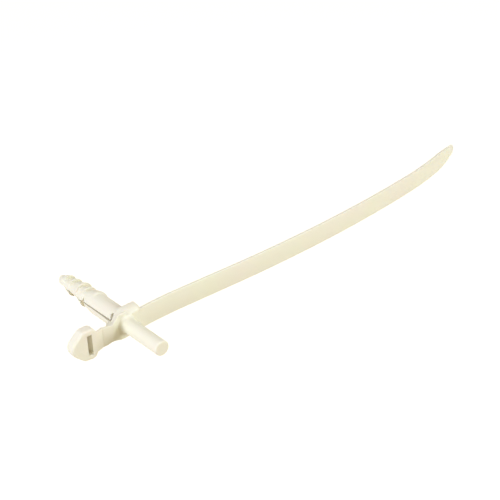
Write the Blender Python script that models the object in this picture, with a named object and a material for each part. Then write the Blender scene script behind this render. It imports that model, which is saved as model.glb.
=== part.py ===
"""Fir tree cable tie: one nylon moulding that holds a cable bundle to a masonry wall.

The split plug goes into a drilled hole, the pin on the front is hammered through it to spread
the plug, and the toothed strap is looped round the cables and locked in the head.

Frame: +X runs along the strap towards its tail, +Y into the wall, +Z across the strap's width.
The origin is on the plug's axis, in the plane of the wall. Metres.
"""
import math

import bmesh
import bpy
from mathutils import Vector

MM = 0.001
# How far a piece reaches into the one it is moulded to, and a cutter past the face it cuts
SINK = 0.8 * MM

# Hub, which seats on the wall: nearly flush with the plug towards the neck, square at the strap
HUB_THICKNESS = 4.6 * MM
HUB_ROUND_RADIUS = 4.15 * MM
HUB_HALF_HEIGHT = 4.9 * MM
HUB_SHOULDER_RADIUS = 2.3 * MM
HUB_SHOULDER_X = 0.3 * MM
HUB_STRAP_SIDE = 6.2 * MM
HUB_CORNER_RADIUS = 1.1 * MM
HUB_EDGE_RADIUS = 1.0 * MM
HUB_WALL_EDGE_RADIUS = 0.25 * MM

# Drive pin on the hub's front, over a thin web that it breaks when it is hammered in
PIN_RADIUS = 2.78 * MM
PIN_LENGTH = 20.3 * MM
PIN_CHAMFER = 0.3 * MM
PIN_ROOT_FILLET = 1.1 * MM
PIN_WEB = 1.2 * MM

# Wall plug: a plain barrel, a shoulder, then a barbed stem with a round nose
BARREL_RADIUS = 4.0 * MM
BARREL_LENGTH = 14.6 * MM
SHOULDER_LENGTH = 4.2 * MM
STEM_ROOT_RADIUS = 3.2 * MM
STEM_TIP_RADIUS = 2.35 * MM
PLUG_LENGTH = 39.6 * MM
NOSE_LENGTH = 3.0 * MM
BORE_RADIUS = 2.1 * MM
BORE_TIP_RADIUS = 0.9 * MM
BORE_END_WALL = 5.0 * MM

# Barbs, which face back to the wall's surface and are staggered between the two legs. Each has
# its place as a share of the stem's length, and how far it stands proud of the stem.
UPPER_BARBS = ((0.275, 1.1 * MM), (0.62, 0.55 * MM), (0.85, 0.45 * MM))
LOWER_BARBS = ((0.08, 0.65 * MM), (0.64, 0.55 * MM))
UPPER_BARB_RAMP = 3.8 * MM
LOWER_BARB_RAMP = 2.5 * MM
BARB_LAND = 0.5 * MM

# Slit that parts the plug into its legs, and the relief notch where the upper leg meets the hub
SLIT_HEIGHT = 0.85 * MM
SLIT_WIDTH = 0.55 * MM
SLIT_TIP_WIDTH = 0.2 * MM
SLIT_END_WALL = 3.4 * MM
SLIT_START = -0.3 * MM
NOTCH_START = -0.5 * MM
NOTCH_WIDTH = 1.6 * MM
NOTCH_TOP_WEB = 0.7 * MM

# Neck between the hub and the head: waisted near the hub and stepped across its face
NECK_THICKNESS = 1.0 * MM
NECK_RISE = 1.25 * MM
NECK_START_X = 2.8 * MM
NECK_RISE_X = 6.4 * MM
NECK_WAIST_X = 7.2 * MM
NECK_STEP_X = 10.7 * MM
NECK_STEP = 0.15 * MM
NECK_HUB_HALF_WIDTH = 4.5 * MM
NECK_WAIST_HALF_WIDTH = 3.3 * MM
NECK_HEAD_HALF_WIDTH = 3.8 * MM
# How far short of the head's middle the neck is level with its face, and how far under that face
NECK_END_GAP = 2.4 * MM
NECK_END_DROP = 0.03 * MM

# Rib behind the neck
RIB_HALF_WIDTH = 1.2 * MM
RIB_REACH = 6.1 * MM
RIB_NECK_REACH = 8.4 * MM
RIB_SETBACK = 0.1 * MM

# Locking head: an outline drawn round a nose, two shoulders and two heels
HEAD_FRONT_RISE = 2.1 * MM
HEAD_THICKNESS = 4.4 * MM
HEAD_X = 17.0 * MM
HEAD_HALF_HEIGHT = 5.8 * MM
HEAD_NOSE_X = 23.5 * MM
HEAD_NOSE_RADIUS = 3.7 * MM
HEAD_SHOULDER_X = 18.3 * MM
HEAD_SHOULDER_RADIUS = 1.6 * MM
HEAD_SHOULDER_DROP = 0.1 * MM
HEAD_HEEL_X = 16.1 * MM
HEAD_HEEL_RADIUS = 2.4 * MM
HEAD_EDGE_RADIUS = 0.7 * MM
HEAD_BACK_EDGE_RADIUS = 1.3 * MM

# Slot through the head, with a chamber behind the pawl
SLOT_X = 16.6 * MM
SLOT_WIDTH = 2.0 * MM
SLOT_HEIGHT = 7.8 * MM
CHAMBER_DEPTH = 1.3 * MM
CHAMBER_FRONT_WALL = 1.0 * MM
CHAMBER_SIDE_STEP = 0.1 * MM
PAWL_ROOT = 1.0 * MM
PAWL_LENGTH = 3.0 * MM
PAWL_TIP_PROUD = 0.75 * MM
PAWL_TIP_THICKNESS = 0.9 * MM
PAWL_SIDE_GAP = 0.5 * MM

# Strap: a short curve back out of the hub, a straight, then two arcs forward, toothed on its back
STRAP_WIDTH = 8.0 * MM
STRAP_THICKNESS = 1.2 * MM
STRAP_FRONT_DEPTH = 0.3 * MM
STRAP_EDGE = 0.2 * MM
ROOT_BEND_LENGTH = 18.0 * MM
ROOT_BEND_RADIUS = 157.0 * MM
STRAP_STRAIGHT = 22.0 * MM
STRAP_BEND_LENGTH = 103.0 * MM
STRAP_BEND_RADIUS = 620.0 * MM
TAIL_BEND_LENGTH = 44.0 * MM
TAIL_BEND_RADIUS = 188.0 * MM
TAIL_TAPER_LENGTH = 17.0 * MM
TAIL_TIP_WIDTH = 4.6 * MM
TAIL_TIP_THICKNESS = 0.8 * MM
STRAP_STATION = 4.0 * MM

# Teeth cut across the strap's back between two plain rails
TOOTH_START = 18.0 * MM
TOOTH_PITCH = 1.8 * MM
TOOTH_DEPTH = 0.5 * MM
TOOTH_LAND = 0.5 * MM
RAIL_WIDTH = 1.1 * MM

ROUND_STEPS = 40
CORNER_STEPS = 8
EDGE_STEPS = 3


def hub_front():
    """Y of the hub's front face."""
    return -HUB_THICKNESS


def strap_centre_y():
    """Y of the strap's middle plane where it leaves the hub."""
    return hub_front() + STRAP_FRONT_DEPTH + STRAP_THICKNESS / 2


def new_object(name, mesh_builder):
    """Turn a finished bmesh into an object in the scene, with its faces pointing out."""
    bmesh.ops.remove_doubles(mesh_builder, verts=mesh_builder.verts, dist=0.0005 * MM)
    bmesh.ops.recalc_face_normals(mesh_builder, faces=mesh_builder.faces)
    mesh = bpy.data.meshes.new(name)
    mesh_builder.to_mesh(mesh)
    mesh_builder.free()
    piece = bpy.data.objects.new(name, mesh)
    bpy.context.collection.objects.link(piece)
    return piece


def lofted(name, sections):
    """Skin a list of sections, each a ring of the same number of points, and cap both ends."""
    build = bmesh.new()
    rings = [[build.verts.new(point) for point in section] for section in sections]
    for near, far in zip(rings, rings[1:]):
        for i in range(len(near)):
            j = (i + 1) % len(near)
            build.faces.new((near[i], near[j], far[j], far[i]))
    build.faces.new(rings[0])
    build.faces.new(rings[-1])
    return new_object(name, build)


def prism_along_z(name, outline, half_width):
    """Extrude an outline of (x, y) points to half_width on each side of z = 0."""
    return lofted(name, [[(x, y, z) for x, y in outline] for z in (-half_width, half_width)])


def prism_along_x(name, outline, half_width):
    """Extrude an outline of (y, z) points to half_width on each side of x = 0."""
    return lofted(name, [[(x, y, z) for y, z in outline] for x in (-half_width, half_width)])


def turned(name, profile):
    """Spin a profile of (radius, y) points, from axis to axis, all the way round the Y axis."""
    build = bmesh.new()
    points = [build.verts.new((radius, y, 0.0)) for radius, y in profile]
    edges = [build.edges.new(pair) for pair in zip(points, points[1:])]
    bmesh.ops.spin(build, geom=points + edges, cent=(0, 0, 0), axis=(0, 1, 0), angle=math.tau,
                   steps=ROUND_STEPS, use_duplicate=False)
    return new_object(name, build)


def banded(circles, inset=0.0):
    """The (x, z) outline of a band pulled tight round circles of (x, z, radius), anticlockwise."""
    angles = []
    for (ax, az, a_radius), (bx, bz, b_radius) in zip(circles, circles[1:] + circles[:1]):
        reach = math.hypot(bx - ax, bz - az)
        angles.append(math.atan2(bz - az, bx - ax) - math.acos((a_radius - b_radius) / reach))
    outline = []
    for i, (x, z, radius) in enumerate(circles):
        turn = (angles[i] - angles[i - 1]) % math.tau
        for k in range(CORNER_STEPS + 1):
            angle = angles[i - 1] + turn * k / CORNER_STEPS
            outline.append((x + (radius - inset) * math.cos(angle), z + (radius - inset) * math.sin(angle)))
    return outline


def rounded_plate(name, circles, front, back, front_radius, back_radius):
    """A plate with a banded outline, from y = front to y = back, both rims rounded."""
    levels = []
    for k in range(EDGE_STEPS + 1):
        turn = math.pi / 2 * k / EDGE_STEPS
        levels.append((front + front_radius * (1 - math.sin(turn)), front_radius * (1 - math.cos(turn))))
    levels.reverse()
    for k in range(EDGE_STEPS + 1):
        turn = math.pi / 2 * k / EDGE_STEPS
        levels.append((back - back_radius * (1 - math.sin(turn)), back_radius * (1 - math.cos(turn))))
    return lofted(name, [[(x, y, z) for x, z in banded(circles, inset)] for y, inset in levels])


def combine(body, piece, operation):
    """Unite a piece with the body, or cut it out, and keep the piece as a hidden guide."""
    piece.hide_render = True
    piece.display_type = "WIRE"
    boolean = body.modifiers.new(piece.name, "BOOLEAN")
    boolean.operation = operation
    boolean.solver = "EXACT"
    boolean.object = piece


def smooth_step(t):
    """Ease from 0 to 1 with a level start and end."""
    t = min(max(t, 0.0), 1.0)
    return t * t * (3 - 2 * t)


def hub():
    """The hub: square where it carries the strap, round on the plug's axis towards the neck."""
    x = HUB_STRAP_SIDE - HUB_CORNER_RADIUS
    z = HUB_HALF_HEIGHT - HUB_CORNER_RADIUS
    shoulder_z = HUB_HALF_HEIGHT - HUB_SHOULDER_RADIUS
    circles = [(0.0, 0.0, HUB_ROUND_RADIUS), (HUB_SHOULDER_X, -shoulder_z, HUB_SHOULDER_RADIUS),
               (x, -z, HUB_CORNER_RADIUS), (x, z, HUB_CORNER_RADIUS),
               (HUB_SHOULDER_X, shoulder_z, HUB_SHOULDER_RADIUS)]
    return rounded_plate("cable_tie", circles, hub_front(), 0.0, HUB_EDGE_RADIUS, HUB_WALL_EDGE_RADIUS)


def pin():
    """The drive pin, chamfered at its end and filleted into the hub's front."""
    front = hub_front()
    end = front - PIN_LENGTH
    profile = [(0.0, end), (PIN_RADIUS - PIN_CHAMFER, end), (PIN_RADIUS, end + PIN_CHAMFER)]
    for i in range(6):
        turn = math.pi / 2 * i / 5
        profile.append((PIN_RADIUS + PIN_ROOT_FILLET * (1 - math.cos(turn)),
                        front - PIN_ROOT_FILLET * (1 - math.sin(turn))))
    profile += [(PIN_RADIUS + PIN_ROOT_FILLET, front + PIN_WEB / 4), (0.0, front + PIN_WEB / 4)]
    return turned("pin", profile)


def stem_radius(y):
    """Radius of the barbed stem between its barbs."""
    shoulder = BARREL_LENGTH + SHOULDER_LENGTH
    t = (y - shoulder) / (PLUG_LENGTH - NOSE_LENGTH - shoulder)
    return STEM_ROOT_RADIUS + (STEM_TIP_RADIUS - STEM_ROOT_RADIUS) * t


def plug_shell():
    """Outside of the plug: barrel, shoulder, tapered stem and round nose."""
    shoulder = BARREL_LENGTH + SHOULDER_LENGTH
    nose = PLUG_LENGTH - NOSE_LENGTH
    profile = [(0.0, -SINK), (BARREL_RADIUS, -SINK), (BARREL_RADIUS, BARREL_LENGTH),
               (STEM_ROOT_RADIUS, shoulder)]
    for i in range(7):
        turn = math.pi / 2 * i / 6
        profile.append((STEM_TIP_RADIUS * math.cos(turn), nose + NOSE_LENGTH * math.sin(turn)))
    return turned("plug_shell", profile)


def barb(name, place, proud, ramp, side):
    """A ring on one leg, side +1 the upper and -1 the lower: a flat lip and a ramp to the nose."""
    shoulder = BARREL_LENGTH + SHOULDER_LENGTH
    nose = PLUG_LENGTH - NOSE_LENGTH
    y = shoulder + place * (nose - shoulder)
    y_end = min(y + BARB_LAND + ramp, nose)
    radius = stem_radius(y) + proud
    inner = stem_radius(y_end) - SINK / 2
    profile = [(inner, y), (radius, y), (radius, min(y + BARB_LAND, y_end - SINK / 2)), (inner, y_end)]
    lift = math.asin(SLIT_HEIGHT / radius)
    sections = []
    for i in range(ROUND_STEPS // 2 + 1):
        angle = side * lift + (math.pi - 2 * side * lift) * i / (ROUND_STEPS // 2)
        sections.append([(r * math.cos(angle), along, side * r * math.sin(angle)) for r, along in profile])
    return lofted(name, sections)


def barbs():
    """Every barb of both legs, each ending inside the slit."""
    made = []
    legs = (("upper", 1, UPPER_BARBS, UPPER_BARB_RAMP), ("lower", -1, LOWER_BARBS, LOWER_BARB_RAMP))
    for leg, side, places, ramp in legs:
        for i, (place, proud) in enumerate(places):
            made.append(barb(f"{leg}_barb_{i + 1}", place, proud, ramp, side))
    return made


def bore():
    """The passage that the pin is driven into, narrowing so that it spreads the legs."""
    start = hub_front() + PIN_WEB
    end = PLUG_LENGTH - BORE_END_WALL
    profile = [(0.0, start), (BORE_RADIUS, start), (BORE_RADIUS, BARREL_LENGTH),
               (BORE_TIP_RADIUS, end), (0.0, end)]
    return turned("bore", profile)


def slit():
    """The cut across the plug that parts its two legs, narrowing and ending short of the nose."""
    end = PLUG_LENGTH - SLIT_END_WALL
    half, tip_half = SLIT_WIDTH / 2, SLIT_TIP_WIDTH / 2
    outline = [(SLIT_START, SLIT_HEIGHT - half), (end, SLIT_HEIGHT - tip_half),
               (end, SLIT_HEIGHT + tip_half), (SLIT_START, SLIT_HEIGHT + half)]
    return prism_along_x("slit", outline, BARREL_RADIUS + SINK)


def notch():
    """The wedge-shaped relief that frees the upper leg at the hub, wider at its top."""
    foot = SLIT_HEIGHT
    rise = BARREL_RADIUS - NOTCH_TOP_WEB - foot
    low = NOTCH_START
    outline = [(low, foot), (low + SLIT_WIDTH, foot), (low + NOTCH_WIDTH, foot + 0.7 * rise),
               (low + 0.95 * NOTCH_WIDTH, foot + 0.9 * rise), (low + 0.6 * NOTCH_WIDTH, foot + rise),
               (low, foot + 0.9 * rise)]
    return prism_along_x("notch", outline, HUB_ROUND_RADIUS + SINK / 4)


def neck_half_width(x):
    """Half the neck's width at a distance x from the plug's axis."""
    to_hub = smooth_step((NECK_WAIST_X - x) / (NECK_WAIST_X - NECK_START_X))
    to_head = smooth_step((x - NECK_WAIST_X) / (NECK_STEP_X - NECK_WAIST_X))
    half = NECK_WAIST_HALF_WIDTH + (NECK_HUB_HALF_WIDTH - NECK_WAIST_HALF_WIDTH) * to_hub
    return half + (NECK_HEAD_HALF_WIDTH - NECK_WAIST_HALF_WIDTH) * to_head


def neck_section(x, front):
    """One upright rectangle of the neck, x measured towards the head."""
    half = neck_half_width(x)
    back = front + NECK_THICKNESS
    return [(-x, front, -half), (-x, front, half), (-x, back, half), (-x, back, -half)]


def neck():
    """The web from the hub to the head: it rises from beside the pin and runs up to the head's face."""
    buried = hub_front() + NECK_THICKNESS / 5
    flat = hub_front() - NECK_RISE
    end = HEAD_X - NECK_END_GAP
    end_front = hub_front() - HEAD_FRONT_RISE + NECK_END_DROP
    sections = [neck_section(0.0, buried)]
    for i in range(9):
        t = i / 8
        x = NECK_START_X + (NECK_RISE_X - NECK_START_X) * t
        sections.append(neck_section(x, buried + (flat - buried) * smooth_step(t)))
    for i in range(1, 5):
        sections.append(neck_section(NECK_RISE_X + (NECK_STEP_X - NECK_RISE_X) * i / 4, flat))
    low = flat + NECK_STEP
    for i in range(7):
        t = i / 6
        x = NECK_STEP_X + NECK_STEP / 2 + (end - NECK_STEP_X) * t
        sections.append(neck_section(x, end_front + (low - end_front) * (1 - t) ** 1.7))
    sections.append(neck_section(end + 3 * NECK_STEP, end_front))
    return lofted("neck", sections)


def rib():
    """The rib behind the neck, from the wall's plane up to the neck."""
    neck_back = hub_front() - NECK_RISE + NECK_THICKNESS / 2
    outline = [(0.0, -RIB_SETBACK), (-RIB_REACH, -RIB_SETBACK), (-RIB_NECK_REACH, neck_back),
               (-NECK_RISE_X, neck_back), (0.0, hub_front() + NECK_THICKNESS)]
    return prism_along_z("rib", outline, RIB_HALF_WIDTH)


def head_block():
    """The head's rounded body."""
    shoulder_z = HEAD_HALF_HEIGHT - HEAD_SHOULDER_DROP - HEAD_SHOULDER_RADIUS
    heel_z = HEAD_HALF_HEIGHT - HEAD_HEEL_RADIUS
    circles = [(HEAD_NOSE_RADIUS - HEAD_NOSE_X, 0.0, HEAD_NOSE_RADIUS),
               (-HEAD_SHOULDER_X, -shoulder_z, HEAD_SHOULDER_RADIUS),
               (-HEAD_HEEL_X, -heel_z, HEAD_HEEL_RADIUS), (-HEAD_HEEL_X, heel_z, HEAD_HEEL_RADIUS),
               (-HEAD_SHOULDER_X, shoulder_z, HEAD_SHOULDER_RADIUS)]
    front = hub_front() - HEAD_FRONT_RISE
    return rounded_plate("head_block", circles, front, front + HEAD_THICKNESS, HEAD_EDGE_RADIUS,
                         HEAD_BACK_EDGE_RADIUS)


def upright_box(name, x_low, x_high, y_low, y_high, half_height):
    """A plain box from its limits."""
    outline = [(x_low, y_low), (x_high, y_low), (x_high, y_high), (x_low, y_high)]
    return prism_along_z(name, outline, half_height)


def slot():
    """The passage through the head for the strap."""
    front = hub_front() - HEAD_FRONT_RISE
    half = SLOT_WIDTH / 2
    return upright_box("slot", -SLOT_X - half, -SLOT_X + half, front - SINK, front + HEAD_THICKNESS + SINK,
                       SLOT_HEIGHT / 2)


def pawl_chamber():
    """The room behind the pawl, open at the head's back."""
    front = hub_front() - HEAD_FRONT_RISE
    x_slot = -SLOT_X - SLOT_WIDTH / 2
    return upright_box("pawl_chamber", x_slot - CHAMBER_DEPTH, -SLOT_X, front + CHAMBER_FRONT_WALL,
                       front + HEAD_THICKNESS + SINK, SLOT_HEIGHT / 2 - CHAMBER_SIDE_STEP)


def pawl():
    """The springy tongue, rooted at the chamber's front, that locks in the strap's teeth."""
    y_root = hub_front() - HEAD_FRONT_RISE + CHAMBER_FRONT_WALL
    y_tip = y_root + PAWL_LENGTH
    x_slot = -SLOT_X - SLOT_WIDTH / 2
    x_tip = x_slot + PAWL_TIP_PROUD
    back = x_slot - PAWL_ROOT
    bite = TOOTH_DEPTH / 2
    outline = [(back, y_root - SINK / 2), (x_slot - SINK / 8, y_root - SINK / 2), (x_slot - SINK / 8, y_root),
               (x_tip, y_tip - TOOTH_PITCH), (x_tip - bite, y_tip - TOOTH_PITCH),
               (x_tip, y_tip), (x_tip - PAWL_TIP_THICKNESS, y_tip)]
    return prism_along_z("pawl", outline, SLOT_HEIGHT / 2 - PAWL_SIDE_GAP)


def strap_length():
    """Length of the strap's middle line from the hub's side to its tip."""
    return ROOT_BEND_LENGTH + STRAP_STRAIGHT + STRAP_BEND_LENGTH + TAIL_BEND_LENGTH


def strap_frame(s):
    """Place and heading of the strap's middle line at a distance s from the hub's side."""
    x, y = HUB_STRAP_SIDE, strap_centre_y()
    heading = ROOT_BEND_LENGTH / ROOT_BEND_RADIUS
    runs = ((ROOT_BEND_LENGTH, -1 / ROOT_BEND_RADIUS), (STRAP_STRAIGHT, 0.0),
            (STRAP_BEND_LENGTH, 1 / STRAP_BEND_RADIUS), (TAIL_BEND_LENGTH, 1 / TAIL_BEND_RADIUS))
    for length, curvature in runs:
        run = min(max(s, 0.0), length)
        end = heading + run * curvature
        if curvature:
            x += (math.sin(end) - math.sin(heading)) / curvature
            y += (math.cos(heading) - math.cos(end)) / curvature
        else:
            x += run * math.cos(heading)
            y += run * math.sin(heading)
        heading = end
        s -= run
    return Vector((x, y, 0.0)), heading


def strap_point(s, height, z):
    """A point at a distance along the strap, a height behind its middle plane, and a width."""
    centre, heading = strap_frame(s)
    return centre + Vector((-math.sin(heading), math.cos(heading), 0.0)) * height + Vector((0, 0, z))


def strap_section(s, half_width, half_thickness):
    """A ring round the strap with small chamfers on its four corners."""
    edge = min(STRAP_EDGE, 0.4 * half_thickness)
    w, t = half_width, half_thickness
    corners = [(-t, -w + edge), (-t, w - edge), (-t + edge, w), (t - edge, w),
               (t, w - edge), (t, -w + edge), (t - edge, -w), (-t + edge, -w)]
    return [strap_point(s, height, z) for height, z in corners]


def strap():
    """The smooth band, tapered at its tail to a small round tip."""
    length = strap_length()
    taper = length - TAIL_TAPER_LENGTH
    half_width, half_thickness = STRAP_WIDTH / 2, STRAP_THICKNESS / 2
    root = strap_section(0.0, half_width, half_thickness)
    sections = [[point - Vector((SINK, 0, 0)) for point in root]]
    straight_start, straight_end = ROOT_BEND_LENGTH, ROOT_BEND_LENGTH + STRAP_STRAIGHT
    stations = [straight_start * i / 6 for i in range(1, 7)] + [straight_end]
    count = math.ceil((taper - straight_end) / STRAP_STATION)
    stations += [straight_end + (taper - straight_end) * i / count for i in range(1, count + 1)]
    for s in stations:
        sections.append(strap_section(s, half_width, half_thickness))
    tip_half = TAIL_TIP_WIDTH / 2
    tip_start = length - tip_half
    for i in range(1, 7):
        t = i / 6
        width = half_width + (tip_half - half_width) * (0.35 * t + 0.65 * t * t)
        thick = half_thickness + (TAIL_TIP_THICKNESS / 2 - half_thickness) * t
        sections.append(strap_section(taper + (tip_start - taper) * t, width, thick))
    for i in range(1, 4):
        turn = math.radians(25 * i)
        s = tip_start + tip_half * math.sin(turn)
        sections.append(strap_section(s, tip_half * math.cos(turn), TAIL_TIP_THICKNESS / 2))
    return lofted("strap", sections)


def strap_teeth():
    """Sawtooth grooves across the strap's back: a steep side to the hub, a long side to the tail."""
    half_width = STRAP_WIDTH / 2 - RAIL_WIDTH
    surface = STRAP_THICKNESS / 2
    last = strap_length() - TAIL_TAPER_LENGTH
    build = bmesh.new()
    for i in range(int((last - TOOTH_START) / TOOTH_PITCH)):
        s = TOOTH_START + i * TOOTH_PITCH
        ramp = TOOTH_PITCH - TOOTH_LAND
        rise = TOOTH_DEPTH / 5
        outline = [(s, surface - TOOTH_DEPTH), (s + ramp * (1 + rise / TOOTH_DEPTH), surface + rise),
                   (s, surface + rise)]
        ends = [[build.verts.new(strap_point(along, height, z)) for along, height in outline]
                for z in (-half_width, half_width)]
        for ring in ends:
            build.faces.new(ring)
        for a, b in ((0, 1), (1, 2), (2, 0)):
            build.faces.new((ends[0][a], ends[0][b], ends[1][b], ends[1][a]))
    return new_object("strap_teeth", build)


def nylon():
    """Natural nylon: off-white, half gloss."""
    material = bpy.data.materials.new("natural_nylon")
    material.use_nodes = True
    shader = material.node_tree.nodes["Principled BSDF"]
    shader.inputs["Base Color"].default_value = (0.83, 0.80, 0.66, 1.0)
    shader.inputs["Roughness"].default_value = 0.42
    shader.inputs["Metallic"].default_value = 0.0
    return material


def cable_tie():
    """Unite every form of the moulding, then cut its openings."""
    body = hub()
    for piece in [neck(), rib(), head_block(), strap(), plug_shell()] + barbs():
        combine(body, piece, "UNION")
    for cutter in (bore(), slit(), notch(), slot(), pawl_chamber(), strap_teeth()):
        combine(body, cutter, "DIFFERENCE")
    for piece in (pin(), pawl()):
        combine(body, piece, "UNION")
    body.data.materials.append(nylon())
    return body


for existing in list(bpy.data.objects):
    bpy.data.objects.remove(existing, do_unlink=True)
cable_tie()
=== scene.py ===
import math

import bpy
from mathutils import Matrix, Vector


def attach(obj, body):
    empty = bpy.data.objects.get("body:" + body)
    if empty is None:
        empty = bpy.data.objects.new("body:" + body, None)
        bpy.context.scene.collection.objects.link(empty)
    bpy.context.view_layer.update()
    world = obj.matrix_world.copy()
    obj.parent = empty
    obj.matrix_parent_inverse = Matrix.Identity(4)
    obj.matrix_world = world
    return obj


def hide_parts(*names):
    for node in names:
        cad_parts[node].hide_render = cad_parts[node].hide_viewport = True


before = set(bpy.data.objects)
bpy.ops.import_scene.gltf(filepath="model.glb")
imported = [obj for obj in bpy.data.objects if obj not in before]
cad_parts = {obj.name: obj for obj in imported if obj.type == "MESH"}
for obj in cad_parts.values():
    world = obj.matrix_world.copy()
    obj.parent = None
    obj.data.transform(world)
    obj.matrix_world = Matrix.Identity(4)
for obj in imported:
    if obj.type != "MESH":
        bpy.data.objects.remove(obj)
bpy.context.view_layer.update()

MM = 0.001

# Sizes are in millimetres. X runs along the strap, Y into the wall, Z across the strap.

# Hub and pin
HUB_FRONT = -4.6
HUB_FRONT_ROUNDING = 3.2
HUB_BACK_ROUNDING = 0.25
PIN_RADIUS = 2.78
PIN_END = HUB_FRONT - 20.3
PIN_CHAMFER = 0.3
PIN_FILLET = 0.9

# Plug
PLUG_ROOT = -0.8
BARREL_RADIUS = 4.0
BARREL_END = 14.6
SHOULDER_RADIUS = 3.4
STEM_START = 18.8
STEM_END = 36.6
STEM_ROOT_RADIUS = 2.5
STEM_TIP_RADIUS = 1.9
PLUG_END = 39.6
BORE_RADIUS = 2.1
# Heights of the slit on the barrel and on the stem, and where it changes between them
SLIT_HEIGHT = 0.85
SLIT_STEM_HEIGHT = -0.2
SLIT_DIP_START = 14.0
SLIT_DIP_LENGTH = 8.0
# The slit's stations: place along the plug and half of the slit's width there
SLIT_STATIONS = [(-0.3, 0.5), (6.0, 0.34), (14.0, 0.26), (22.0, 0.17), (36.2, 0.1)]

# Barbs: place and radius of the lip, place and radius of the ramp's end
UPPER_BARBS = ((20.5, 3.5, 22.9, 2.9), (24.0, 3.75, 28.4, 2.5), (29.4, 3.15, 32.6, 2.1),
               (33.6, 2.85, 36.2, 2.0))
LOWER_BARBS = ((20.3, 3.8, 24.5, 2.7), (29.2, 3.15, 33.0, 2.4))
# A long low ring that fills the upper leg's grooves on the head's side
GROOVE_FILLER = (19.3, 3.0, 36.4, 2.1)
# How far rings sit out of centre, in X and Z
CENTRED = (0.0, 0.0)
OFF_CENTRE = (0.36, 0.28)
FILLER_OFF_CENTRE = (-0.4, -0.05)
# How deep a ring reaches into the stem
BARB_DEPTH = 0.4

# Head and neck
HEAD_FRONT = HUB_FRONT - 2.1
HEAD_BACK = HEAD_FRONT + 4.4
HEAD_FRONT_ROUNDING = 0.7
HEAD_BACK_ROUNDING = 1.3
SLOT_X = -16.6
SLOT_HALF_GAP = 1.0
SLOT_HALF_WIDTH = 3.9
CHAMBER_END = -18.9
CHAMBER_HALF_WIDTH = 3.8
PAWL_HALF_WIDTH = 3.4
NECK_FRONT = HUB_FRONT - 1.25
NECK_THICKNESS = 1.0
# Places of the neck's stations, counted from the plug's axis towards the head
NECK_PLACES = (0.0, 2.4, 3.0, 3.6, 4.2, 4.8, 5.4, 6.0, 6.6, 7.2, 7.8, 8.4, 9.0, 9.6, 10.2, 10.7,
               10.75, 11.2, 11.8, 12.4, 13.0, 13.6, 14.2, 14.6, 15.1)
# The hollow in the neck's face: its depth at the hub, where it starts to fade and how soon
HOLLOW_DEPTH = 1.5
HOLLOW_FADE_START = 2.8
HOLLOW_FADE_LENGTH = 4.6
# The neck's narrowest place, and how it widens to the hub and to the head
WAIST_PLACE = 7.2
WAIST_HALF_WIDTH = 3.3
HUB_FLARE = 1.8
HUB_FLARE_LENGTH = 4.6
HEAD_FLARE = 0.5
HEAD_FLARE_LENGTH = 3.5
# The small step in the neck's face, and the curved rise from it to the head's face
STEP_PLACE = 10.7
STEP_DEPTH = 0.3
RISE_LENGTH = 3.9
RISE_POWER = 1.7
RIB_HALF_WIDTH = 1.2

# Strap
STRAP_SIDE = 6.2
STRAP_FRONT = HUB_FRONT + 0.3
STRAP_THICKNESS = 1.2
STRAP_HALF_WIDTH = 4.0
STRAP_LENGTH = 187.0
STRAP_EDGE = 0.2
# How much of the strap's line lies ahead of the hub's side, and where on it the strap begins
STRAP_LEAD = 5.0
STRAP_BEGIN = 1.0
TAIL_TAPER = 17.0
TAIL_TIP_WIDTH = 4.6
TAIL_TIP_HALF_THICKNESS = 0.4
TOOTH_START = 18.0
TOOTH_PITCH = 1.8
TOOTH_DEPTH = 0.5
TOOTH_FLAT = 0.5
TOOTH_HALF_WIDTH = 2.9
# The strap's line: length, curvature and steps of each part, from the hub to the tail
RISE_RADIUS = 157.0
STRAP_RISE = 18.0
STRAP_BENDS = ((STRAP_RISE, -1 / RISE_RADIUS, 24), (22.0, 0.0, 4), (103.0, 1 / 620.0, 50),
               (44.0, 1 / 188.0, 44))

# Grain of the moulding's blends, and how often they are eased
BLEND_GRAIN = 0.2
BLEND_PASSES = 3
# How far a cutter reaches past the surface that it opens
OVERCUT = 0.1
# Steps in a quarter turn of a rounded rim, and the smallest disc drawn for one
RIM_STEPS = 4
SMALLEST_DISC = 0.2
DOUBLES = 0.0005
SHARP_ANGLE = math.radians(35)

# Colours
WARM_NYLON = (0.89, 0.85, 0.72, 1.0)
GREEN_NYLON = (0.88, 0.88, 0.70, 1.0)
FLOOR_COLOUR = (0.50, 0.42, 0.27, 1.0)
SURROUND_COLOUR = (1.0, 0.83, 0.60, 1.0)
SURROUND_LEVEL = 0.42
# Glow that the floor adds to its lit colour where it is seen
FLOOR_LIFT = 0.9
COOL = (0.89, 0.97, 1.18)
NEUTRAL = (0.89, 0.955, 1.03)

# Lamps: name, direction from the tie, level and colour
LAMPS = (("left", (-1.0, -0.1, 0.15), 1.56, COOL),
         ("left_low", (-1.0, -0.15, -0.25), 0.10, COOL),
         ("left_high", (-0.7, 0.0, 0.7), 0.55, COOL),
         ("above", (0.0, 0.0, 1.0), 0.75, COOL),
         ("front", (0.55, -1.0, 0.22), 1.80, NEUTRAL))

# The photograph's viewpoint, and its picture's right and down directions
CAMERA_PLACE = (-177.0, -297.2, 213.3)
CAMERA_RIGHT = (0.770, -0.637, -0.038)
CAMERA_DOWN = (-0.332, -0.350, -0.876)
FOCAL_LENGTH = 83.7
SENSOR_WIDTH = 36.0


def deselect():
    """Leave nothing selected, so that the next operator acts only on what it is given."""
    bpy.ops.object.select_all(action="DESELECT")


def pick(piece):
    """Make one piece the selected and active one."""
    deselect()
    piece.select_set(True)
    bpy.context.view_layer.objects.active = piece


def settle(name):
    """Name the newest piece and put its place into its mesh."""
    piece = bpy.context.object
    piece.name = name
    pick(piece)
    bpy.ops.object.transform_apply(location=True, rotation=True, scale=True)
    return piece


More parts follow.
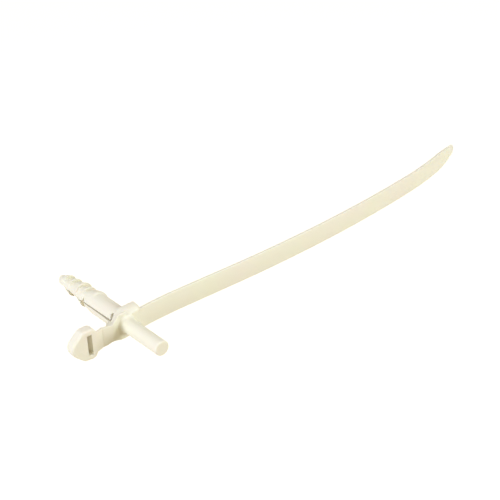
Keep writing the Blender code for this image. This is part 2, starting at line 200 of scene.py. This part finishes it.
def tidy_mesh(piece):
    """Merge doubles and point every face outwards."""
    pick(piece)
    bpy.ops.object.mode_set(mode="EDIT")
    bpy.ops.mesh.select_all(action="SELECT")
    bpy.ops.mesh.remove_doubles(threshold=DOUBLES * MM)
    bpy.ops.mesh.normals_make_consistent(inside=False)
    bpy.ops.object.mode_set(mode="OBJECT")
    return piece


def select_where(piece, kind, test):
    """In edit mode, select the vertices, edges or faces that pass a test."""
    bpy.ops.mesh.select_mode(type=kind)
    bpy.ops.mesh.select_all(action="DESELECT")
    bpy.ops.object.mode_set(mode="OBJECT")
    mesh = piece.data
    items = {"VERT": mesh.vertices, "EDGE": mesh.edges, "FACE": mesh.polygons}[kind]
    for item in items:
        item.select = test(item)
    bpy.ops.object.mode_set(mode="EDIT")


def finish_modifier(piece, modifier):
    """Apply a modifier."""
    pick(piece)
    bpy.ops.object.modifier_apply(modifier=modifier.name)


def joined(pieces):
    """Gather several pieces into one mesh, each still a closed form of its own."""
    deselect()
    for piece in pieces:
        piece.select_set(True)
    bpy.context.view_layer.objects.active = pieces[0]
    bpy.ops.object.join()
    return bpy.context.object


def combine(body, piece, operation):
    """Unite a piece with the body, or cut it out, and remove the piece."""
    modifier = body.modifiers.new("combine", "BOOLEAN")
    modifier.operation = operation
    modifier.solver = "EXACT"
    modifier.object = piece
    finish_modifier(body, modifier)
    bpy.data.objects.remove(piece, do_unlink=True)


def turned(name, profile, sides=72):
    """Draw a disc out along Y through a profile of (radius, y), as on a lathe."""
    radius, y = profile[0]
    deselect()
    bpy.ops.mesh.primitive_circle_add(vertices=sides, radius=radius * MM, fill_type="NGON",
                                      location=(0, y * MM, 0), rotation=(math.pi / 2, 0, 0))
    piece = settle(name)
    bpy.ops.object.mode_set(mode="EDIT")
    bpy.ops.mesh.select_all(action="SELECT")
    for next_radius, next_y in profile[1:]:
        bpy.ops.mesh.extrude_region_move(
            TRANSFORM_OT_translate={"value": (0, (next_y - y) * MM, 0)})
        spread = next_radius / radius
        bpy.ops.transform.resize(value=(spread, 1, spread), center_override=(0, next_y * MM, 0))
        radius, y = next_radius, next_y
    bpy.ops.object.mode_set(mode="OBJECT")
    return tidy_mesh(piece)


def drawn(name, stations):
    """Draw an upright rectangle along X through stations of (x, front, back, half height)."""
    x, front, back, half = stations[0]
    deselect()
    bpy.ops.mesh.primitive_plane_add(size=MM, location=(x * MM, (front + back) / 2 * MM, 0),
                                     rotation=(0, math.pi / 2, 0))
    piece = settle(name)
    bpy.ops.object.mode_set(mode="EDIT")
    bpy.ops.mesh.select_all(action="SELECT")
    middle = (x * MM, (front + back) / 2 * MM, 0)
    bpy.ops.transform.resize(value=(1, back - front, 2 * half), center_override=middle)
    for next_x, next_front, next_back, next_half in stations[1:]:
        shift = ((next_x - x) * MM, (next_front + next_back - front - back) / 2 * MM, 0)
        bpy.ops.mesh.extrude_region_move(TRANSFORM_OT_translate={"value": shift})
        middle = (next_x * MM, (next_front + next_back) / 2 * MM, 0)
        spread = (1, (next_back - next_front) / (back - front), next_half / half)
        bpy.ops.transform.resize(value=spread, center_override=middle)
        x, front, back, half = next_x, next_front, next_back, next_half
    bpy.ops.object.mode_set(mode="OBJECT")
    return tidy_mesh(piece)


def wrapped(name, circles, front, back, front_radius, back_radius):
    """Pull one tight skin over discs on circles of (x, z, radius, share of the rims' rounding)."""
    levels = []
    for i in range(RIM_STEPS + 1):
        turn = math.pi / 2 * i / RIM_STEPS
        rise, inset = 1 - math.sin(turn), 1 - math.cos(turn)
        levels.append((front + front_radius * rise, front_radius * inset))
        levels.append((back - back_radius * rise, back_radius * inset))
    middle = sum(circle[0] for circle in circles) / len(circles)
    discs = []
    for y, inset in levels:
        for x, z, radius, share in circles:
            spare = max(share * inset - radius + SMALLEST_DISC, 0.0)
            reach = math.hypot(x - middle, z)
            x, z = x - spare * (x - middle) / reach, z - spare * z / reach
            deselect()
            bpy.ops.mesh.primitive_circle_add(
                vertices=64, radius=max(radius - share * inset, SMALLEST_DISC) * MM,
                fill_type="NGON", location=(x * MM, y * MM, z * MM),
                rotation=(math.pi / 2, 0, 0))
            discs.append(settle(name))
    piece = joined(discs)
    bpy.ops.object.mode_set(mode="EDIT")
    bpy.ops.mesh.select_all(action="SELECT")
    bpy.ops.mesh.convex_hull()
    bpy.ops.object.mode_set(mode="OBJECT")
    return tidy_mesh(piece)


def prism(name, outline, half, axis):
    """A prism along X or Z from an outline of (y, z) or (x, y) points."""
    across = axis == "X"
    deselect()
    bpy.ops.mesh.primitive_circle_add(vertices=len(outline), radius=MM, fill_type="NGON",
                                      location=(0, 0, 0),
                                      rotation=(0, math.pi / 2 if across else 0, 0))
    piece = settle(name)
    bpy.ops.object.mode_set(mode="EDIT")
    for i, (u, v) in enumerate(outline):
        select_where(piece, "VERT", lambda vertex, i=i: vertex.index == i)
        place = Vector((-half, u, v) if across else (u, v, -half)) * MM
        bpy.ops.transform.translate(value=place - piece.data.vertices[i].co)
    bpy.ops.mesh.select_mode(type="FACE")
    bpy.ops.mesh.select_all(action="SELECT")
    length = (2 * half * MM, 0, 0) if across else (0, 0, 2 * half * MM)
    bpy.ops.mesh.extrude_region_move(TRANSFORM_OT_translate={"value": length})
    bpy.ops.object.mode_set(mode="OBJECT")
    return tidy_mesh(piece)


def block(name, x_range, y_range, half_height):
    """A plain box from its limits, as a cutter."""
    return drawn(name, [(x_range[0], y_range[0], y_range[1], half_height),
                        (x_range[1], y_range[0], y_range[1], half_height)])


def ease(t):
    """Ease from 0 to 1 with a level start and end."""
    t = min(max(t, 0.0), 1.0)
    return t * t * (3 - 2 * t)


def hub():
    """The hub: nearly flush with the plug towards the neck, square where it carries the strap."""
    circles = [(0.0, 0.1, 4.15, 0.5), (0.3, -2.8, 2.3, 0.2), (0.3, 2.8, 2.3, 0.8),
               (5.1, -3.8, 1.1, 0.25), (5.1, 4.2, 1.1, 0.4)]
    return wrapped("hub", circles, HUB_FRONT, 0.0, HUB_FRONT_ROUNDING, HUB_BACK_ROUNDING)


def head():
    """The locking head's body, round its nose, two shoulders and two heels."""
    circles = [(-19.8, 0.0, 3.8, 1.0), (-18.3, -4.1, 1.7, 1.0), (-18.3, 4.1, 1.7, 1.0),
               (-16.1, -3.4, 2.5, 1.0), (-16.1, 3.4, 2.5, 1.0)]
    return wrapped("head", circles, HEAD_FRONT, HEAD_BACK, HEAD_FRONT_ROUNDING,
                   HEAD_BACK_ROUNDING)


def neck():
    """The web from inside the hub to the head's face: hollowed at the hub, waisted, stepped."""
    stations = []
    for x in NECK_PLACES:
        if x <= STEP_PLACE:
            fade = ease((x - HOLLOW_FADE_START) / HOLLOW_FADE_LENGTH)
            front = NECK_FRONT + HOLLOW_DEPTH * (1 - fade)
        else:
            left = 1 - min((x - STEP_PLACE) / RISE_LENGTH, 1.0)
            climb = (NECK_FRONT + STEP_DEPTH - HEAD_FRONT) * left ** RISE_POWER
            front = HEAD_FRONT + 0.03 + climb
        half = (WAIST_HALF_WIDTH + HUB_FLARE * ease((WAIST_PLACE - x) / HUB_FLARE_LENGTH)
                + HEAD_FLARE * ease((x - WAIST_PLACE) / HEAD_FLARE_LENGTH))
        stations.append((-x, front, front + NECK_THICKNESS, half))
    return drawn("neck", stations)


def rib():
    """The rib behind the neck, from just ahead of the wall's plane up to the neck."""
    low, top = HUB_FRONT + 1.0, NECK_FRONT + NECK_THICKNESS / 2
    return drawn("rib", [(0.0, low, -0.1, RIB_HALF_WIDTH), (-6.1, low, -0.1, RIB_HALF_WIDTH),
                         (-6.4, top, -0.55, RIB_HALF_WIDTH),
                         (-8.4, top, top + 0.05, RIB_HALF_WIDTH)])


def pin():
    """The drive pin, with its small end chamfer and the fillet that runs into the hub's front."""
    profile = [(PIN_RADIUS - PIN_CHAMFER, PIN_END), (PIN_RADIUS, PIN_END + PIN_CHAMFER)]
    for i in range(7):
        turn = math.pi / 2 * i / 6
        profile.append((PIN_RADIUS + PIN_FILLET * (1 - math.cos(turn)),
                        HUB_FRONT - PIN_FILLET * (1 - math.sin(turn))))
    profile.append((PIN_RADIUS + PIN_FILLET, HUB_FRONT + 0.5))
    return turned("pin", profile)


def stem_radius(y):
    """Radius of the barbed stem in the grooves between its barbs."""
    share = (y - STEM_START) / (STEM_END - STEM_START)
    return STEM_ROOT_RADIUS + (STEM_TIP_RADIUS - STEM_ROOT_RADIUS) * share


def plug():
    """Barrel, shoulder, tapered stem and round nose."""
    profile = [(BARREL_RADIUS, PLUG_ROOT), (BARREL_RADIUS, BARREL_END),
               (SHOULDER_RADIUS, STEM_START - 0.4), (stem_radius(STEM_START), STEM_START + 0.2)]
    for i in range(8):
        turn = math.pi / 2 * i / 8
        profile.append((STEM_TIP_RADIUS * math.cos(turn),
                        STEM_END + (PLUG_END - STEM_END) * math.sin(turn)))
    return turned("plug", profile)


def slit_height(y):
    """Height of the slit at a place along the plug: lower on the stem than on the barrel."""
    share = min(max((y - SLIT_DIP_START) / SLIT_DIP_LENGTH, 0.0), 1.0)
    return SLIT_HEIGHT + (SLIT_STEM_HEIGHT - SLIT_HEIGHT) * share


def barb(lip_y, lip, end_y, end_radius, upper, shift):
    """A ring with its lip towards the hub and a ramp towards the nose, kept on one leg only."""
    profile = [(stem_radius(lip_y) - BARB_DEPTH, lip_y + 0.25), (lip - 0.05, lip_y - 0.1),
               (lip, lip_y + 0.3), (end_radius, end_y),
               (stem_radius(end_y) - BARB_DEPTH, end_y + 0.5)]
    ring = turned("barb", profile)
    bpy.ops.object.mode_set(mode="EDIT")
    bpy.ops.mesh.select_all(action="SELECT")
    bpy.ops.transform.translate(value=(shift[0] * MM, 0, shift[1] * MM))
    bpy.ops.mesh.bisect(plane_co=(0, 0, slit_height(lip_y) * MM), plane_no=(0, 0, 1),
                        use_fill=True, clear_inner=upper, clear_outer=not upper,
                        threshold=0.0001 * MM)
    bpy.ops.object.mode_set(mode="OBJECT")
    return tidy_mesh(ring)


def barbs():
    """The staggered barbs. The upper leg's are out of centre and fade on the head's side."""
    made = [barb(*shape, True, OFF_CENTRE) for shape in UPPER_BARBS]
    made.append(barb(*GROOVE_FILLER, True, FILLER_OFF_CENTRE))
    made += [barb(*shape, False, CENTRED) for shape in LOWER_BARBS]
    return made


def shoulder_swell():
    """The small swelling of the barrel's end, out of centre like the upper leg's barbs."""
    turned("shoulder_swell", [(3.4, 13.3), (4.02, 14.3), (4.02, 15.6), (3.2, 18.9)])
    bpy.ops.transform.translate(value=(OFF_CENTRE[0] * MM, 0, OFF_CENTRE[1] * MM))
    return settle("shoulder_swell")


def blended(piece):
    """Melt the joined forms into one moulding with soft blends, as in a mould."""
    remesh = piece.modifiers.new("melt", "REMESH")
    remesh.mode = "VOXEL"
    remesh.voxel_size = BLEND_GRAIN * MM
    finish_modifier(piece, remesh)
    smooth = piece.modifiers.new("ease", "SMOOTH")
    smooth.factor = 0.5
    smooth.iterations = BLEND_PASSES
    finish_modifier(piece, smooth)
    return piece


def slit():
    """The cut that parts the plug's legs, narrowing towards the nose."""
    outline = [(y, slit_height(y) - half) for y, half in SLIT_STATIONS]
    outline += [(y, slit_height(y) + half) for y, half in reversed(SLIT_STATIONS)]
    return prism("slit", outline, 5.0, "X")


def notch():
    """The wedge-shaped relief where the upper leg meets the hub."""
    outline = [(-0.5, 0.85), (0.05, 0.85), (1.1, 2.57), (1.02, 3.05), (0.46, 3.3), (-0.5, 3.05)]
    return prism("notch", outline, 4.4, "X")


def bore():
    """The passage that the pin is driven into."""
    return turned("bore", [(BORE_RADIUS, -3.4), (BORE_RADIUS, BARREL_END),
                           (0.9, PLUG_END - 5.0)], 48)


def pawl():
    """The springy tongue behind the slot, with the two steps that lock in the strap's teeth."""
    outline = [(-18.6, -6.1), (-17.7, -6.1), (-17.7, -5.7), (-16.85, -4.5), (-17.1, -4.5),
               (-16.85, -2.7), (-17.75, -2.7)]
    return prism("pawl", outline, PAWL_HALF_WIDTH, "Z")


def openings():
    """Everything that is open in the moulding, as one cutter that leaves the pawl standing."""
    cut = slit()
    combine(cut, notch(), "UNION")
    combine(cut, bore(), "UNION")
    slot = block("slot", (SLOT_X - SLOT_HALF_GAP, SLOT_X + SLOT_HALF_GAP),
                 (HEAD_FRONT - 0.8, HEAD_BACK + 0.8), SLOT_HALF_WIDTH)
    chamber = block("chamber", (CHAMBER_END, SLOT_X), (HEAD_FRONT + 1.0, HEAD_BACK + 0.7),
                    CHAMBER_HALF_WIDTH)
    combine(slot, chamber, "UNION")
    combine(slot, pawl(), "DIFFERENCE")
    return joined([cut, slot])


def bend_guide():
    """The strap's middle line: a short curve out of the hub, a straight, then two arcs."""
    x, y = STRAP_SIDE, STRAP_FRONT + STRAP_THICKNESS / 2
    heading = STRAP_RISE / RISE_RADIUS
    points = [(x - STRAP_LEAD * math.cos(heading), y - STRAP_LEAD * math.sin(heading)), (x, y)]
    for length, bend, steps in STRAP_BENDS:
        for _ in range(steps):
            step = length / steps
            heading += bend * step / 2
            x += step * math.cos(heading)
            y += step * math.sin(heading)
            heading += bend * step / 2
            points.append((x, y))
    data = bpy.data.curves.new("strap_line", "CURVE")
    data.dimensions = "2D"
    line = data.splines.new("POLY")
    line.points.add(len(points) - 1)
    for point, (px, py) in zip(line.points, points):
        point.co = (px * MM, py * MM, 0.0, 1.0)
    guide = bpy.data.objects.new("strap_line", data)
    bpy.context.scene.collection.objects.link(guide)
    return guide


def strap_stations():
    """The straight strap's stations: an even band, a taper, then the round tip."""
    thick, wide = STRAP_THICKNESS / 2, STRAP_HALF_WIDTH
    taper, tip = STRAP_LENGTH - TAIL_TAPER, TAIL_TIP_WIDTH / 2
    stations = [(STRAP_BEGIN - STRAP_LEAD, -thick, thick, wide)]
    for i in range(1, 84):
        stations.append((i * taper / 83, -thick, thick, wide))
    for i in range(1, 13):
        t = i / 12
        thin = thick + (TAIL_TIP_HALF_THICKNESS - thick) * t
        narrow = wide + (tip - wide) * (0.35 * t + 0.65 * t * t)
        stations.append((taper + (TAIL_TAPER - tip) * t, -thin, thin, narrow))
    for i in range(1, 9):
        turn = math.radians(10 * i)
        stations.append((STRAP_LENGTH - tip + tip * math.sin(turn), -TAIL_TIP_HALF_THICKNESS,
                         TAIL_TIP_HALF_THICKNESS, tip * math.cos(turn)))
    return [(STRAP_LEAD + x, front, back, half) for x, front, back, half in stations]


def strap():
    """The band: drawn straight, tapered to its round tip, toothed on its back, then bent."""
    band = drawn("strap", strap_stations())
    mesh = band.data

    def along(edge):
        a, b = (mesh.vertices[i].co for i in edge.vertices)
        return abs(b.x - a.x) > 0.01 * MM

    bpy.ops.object.mode_set(mode="EDIT")
    select_where(band, "EDGE", along)
    bpy.ops.mesh.bevel(offset=STRAP_EDGE * MM, segments=3, affect="EDGES")
    bpy.ops.object.mode_set(mode="OBJECT")
    combine(band, tooth_row(), "DIFFERENCE")
    tidy_mesh(band)
    guide = bend_guide()
    deselect()
    bend = band.modifiers.new("bend", "CURVE")
    bend.object = guide
    bend.deform_axis = "POS_X"
    finish_modifier(band, bend)
    bpy.data.objects.remove(guide, do_unlink=True)
    return band


def tooth_row():
    """One sawtooth gap, steep towards the hub, copied along the strap's back."""
    top = STRAP_THICKNESS / 2 + OVERCUT
    low = STRAP_THICKNESS / 2 - TOOTH_DEPTH
    run = (TOOTH_PITCH - TOOTH_FLAT) * (1 + OVERCUT / TOOTH_DEPTH)
    start = STRAP_LEAD + TOOTH_START
    gap = drawn("tooth", [(start, low, top, TOOTH_HALF_WIDTH),
                          (start + run, top - 0.001, top, TOOTH_HALF_WIDTH)])
    row = gap.modifiers.new("row", "ARRAY")
    row.count = int((STRAP_LENGTH - TAIL_TAPER - TOOTH_START) / TOOTH_PITCH)
    row.use_relative_offset = False
    row.use_constant_offset = True
    row.constant_offset_displace = (TOOTH_PITCH * MM, 0, 0)
    finish_modifier(gap, row)
    return gap


def moulded_tie():
    """The whole tie in one moulding."""
    forms = [hub(), neck(), rib(), head(), plug(), shoulder_swell(), pin()] + barbs()
    body = blended(joined(forms))
    combine(body, strap(), "UNION")
    combine(body, openings(), "DIFFERENCE")
    body.name = "moulded_tie"
    body.data.name = "moulded_tie"
    pick(body)
    bpy.ops.object.shade_smooth_by_angle(angle=SHARP_ANGLE)
    body.data.materials.clear()
    body.data.materials.append(nylon())
    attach(body, "root")
    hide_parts("cable_tie")


def cloud(tree, size, detail, low, high):
    """A soft noise value between two limits, its spots sized in millimetres on the object."""
    place = tree.nodes.new("ShaderNodeTexCoord")
    noise = tree.nodes.new("ShaderNodeTexNoise")
    noise.inputs["Scale"].default_value = 1000.0 / size
    noise.inputs["Detail"].default_value = detail
    spread = tree.nodes.new("ShaderNodeMapRange")
    spread.inputs["From Min"].default_value = 0.3
    spread.inputs["From Max"].default_value = 0.7
    spread.inputs["To Min"].default_value = low
    spread.inputs["To Max"].default_value = high
    tree.links.new(place.outputs["Object"], noise.inputs["Vector"])
    tree.links.new(noise.outputs["Fac"], spread.inputs["Value"])
    return spread.outputs["Result"]


def nylon():
    """Natural nylon: warm off-white, faintly cloudy, with a soft moulded sheen and a fine grain."""
    material = bpy.data.materials.new("natural_nylon")
    material.use_nodes = True
    tree = material.node_tree
    shader = tree.nodes["Principled BSDF"]
    tint = tree.nodes.new("ShaderNodeMix")
    tint.data_type = "RGBA"
    tint.inputs["A"].default_value = WARM_NYLON
    tint.inputs["B"].default_value = GREEN_NYLON
    tree.links.new(cloud(tree, 22.0, 2.0, 0.0, 1.0), tint.inputs["Factor"])
    tree.links.new(tint.outputs["Result"], shader.inputs["Base Color"])
    tree.links.new(cloud(tree, 6.0, 3.0, 0.40, 0.50), shader.inputs["Roughness"])
    grain = tree.nodes.new("ShaderNodeBump")
    grain.inputs["Distance"].default_value = 0.00004
    grain.inputs["Strength"].default_value = 0.3
    tree.links.new(cloud(tree, 0.8, 2.0, 0.0, 1.0), grain.inputs["Height"])
    tree.links.new(grain.outputs["Normal"], shader.inputs["Normal"])
    shader.inputs["Subsurface Weight"].default_value = 0.15
    shader.inputs["Subsurface Scale"].default_value = 0.001
    shader.inputs["Subsurface Radius"].default_value = (1.0, 0.8, 0.5)
    return material


def camera():
    """The photograph's viewpoint, in front of the wall's plane, above and to the left."""
    right = Vector(CAMERA_RIGHT).normalized()
    down = Vector(CAMERA_DOWN)
    down = (down - right * down.dot(right)).normalized()
    back = right.cross(-down)
    data = bpy.data.cameras.new("camera")
    data.lens = FOCAL_LENGTH
    data.sensor_width = SENSOR_WIDTH
    data.clip_start = 0.01
    data.clip_end = 50.0
    eye = bpy.data.objects.new("camera", data)
    bpy.context.scene.collection.objects.link(eye)
    turn = Matrix((right, -down, back)).transposed()
    eye.matrix_world = Matrix.Translation(Vector(CAMERA_PLACE) * MM) @ turn.to_4x4()
    bpy.context.scene.camera = eye


def soft_lamp(name, direction, level, color):
    """A soft lamp one metre from the hub. At level 1 a surface that faces it gets 1 W/m2."""
    target = Vector((0.02, 0.0, 0.0))
    direction = Vector(direction).normalized()
    data = bpy.data.lights.new(name, "AREA")
    data.shape = "SQUARE"
    data.size = 0.4
    data.energy = level * math.pi
    data.color = color
    lamp = bpy.data.objects.new(name, data)
    bpy.context.scene.collection.objects.link(lamp)
    lamp.location = target + direction
    lamp.rotation_euler = (-direction).to_track_quat("-Z", "Y").to_euler()


def where_seen(tree):
    """A value of 1 for the camera, for gloss and for clear pieces, and 0 for the light."""
    path = tree.nodes.new("ShaderNodeLightPath")
    value = path.outputs["Is Camera Ray"]
    for ray in ("Is Glossy Ray", "Is Transmission Ray"):
        either = tree.nodes.new("ShaderNodeMath")
        either.operation = "MAXIMUM"
        tree.links.new(value, either.inputs[0])
        tree.links.new(path.outputs[ray], either.inputs[1])
        value = either.outputs["Value"]
    return value


def floor_material():
    """A pale floor that looks white where it is seen and keeps the shadow that falls on it."""
    material = bpy.data.materials.new("pale_floor")
    material.use_nodes = True
    tree = material.node_tree
    tree.nodes.clear()
    output = tree.nodes.new("ShaderNodeOutputMaterial")
    diffuse = tree.nodes.new("ShaderNodeBsdfDiffuse")
    diffuse.inputs["Color"].default_value = FLOOR_COLOUR
    glow = tree.nodes.new("ShaderNodeEmission")
    lift = tree.nodes.new("ShaderNodeMath")
    lift.operation = "MULTIPLY"
    lift.inputs[1].default_value = FLOOR_LIFT
    both = tree.nodes.new("ShaderNodeAddShader")
    tree.links.new(where_seen(tree), lift.inputs[0])
    tree.links.new(lift.outputs["Value"], glow.inputs["Strength"])
    tree.links.new(diffuse.outputs["BSDF"], both.inputs[0])
    tree.links.new(glow.outputs["Emission"], both.inputs[1])
    tree.links.new(both.outputs["Shader"], output.inputs["Surface"])
    return material


def studio():
    """Pale floor well below the tie, white surroundings and soft lamps, the most from the left."""
    deselect()
    bpy.ops.mesh.primitive_plane_add(size=6.0, location=(0.08, 0.0, -0.30))
    floor = settle("floor")
    floor.data.materials.append(floor_material())

    world = bpy.data.worlds.new("studio")
    bpy.context.scene.world = world
    world.use_nodes = True
    tree = world.node_tree
    warm = tree.nodes["Background"]
    warm.inputs["Color"].default_value = SURROUND_COLOUR
    warm.inputs["Strength"].default_value = SURROUND_LEVEL
    white = tree.nodes.new("ShaderNodeBackground")
    white.inputs["Color"].default_value = (1.0, 1.0, 1.0, 1.0)
    mix = tree.nodes.new("ShaderNodeMixShader")
    tree.links.new(where_seen(tree), mix.inputs["Fac"])
    tree.links.new(warm.outputs["Background"], mix.inputs[1])
    tree.links.new(white.outputs["Background"], mix.inputs[2])
    tree.links.new(mix.outputs["Shader"], tree.nodes["World Output"].inputs["Surface"])
    for lamp in LAMPS:
        soft_lamp(*lamp)


moulded_tie()
camera()
studio()
bpy.context.scene.view_settings.view_transform = "Standard"
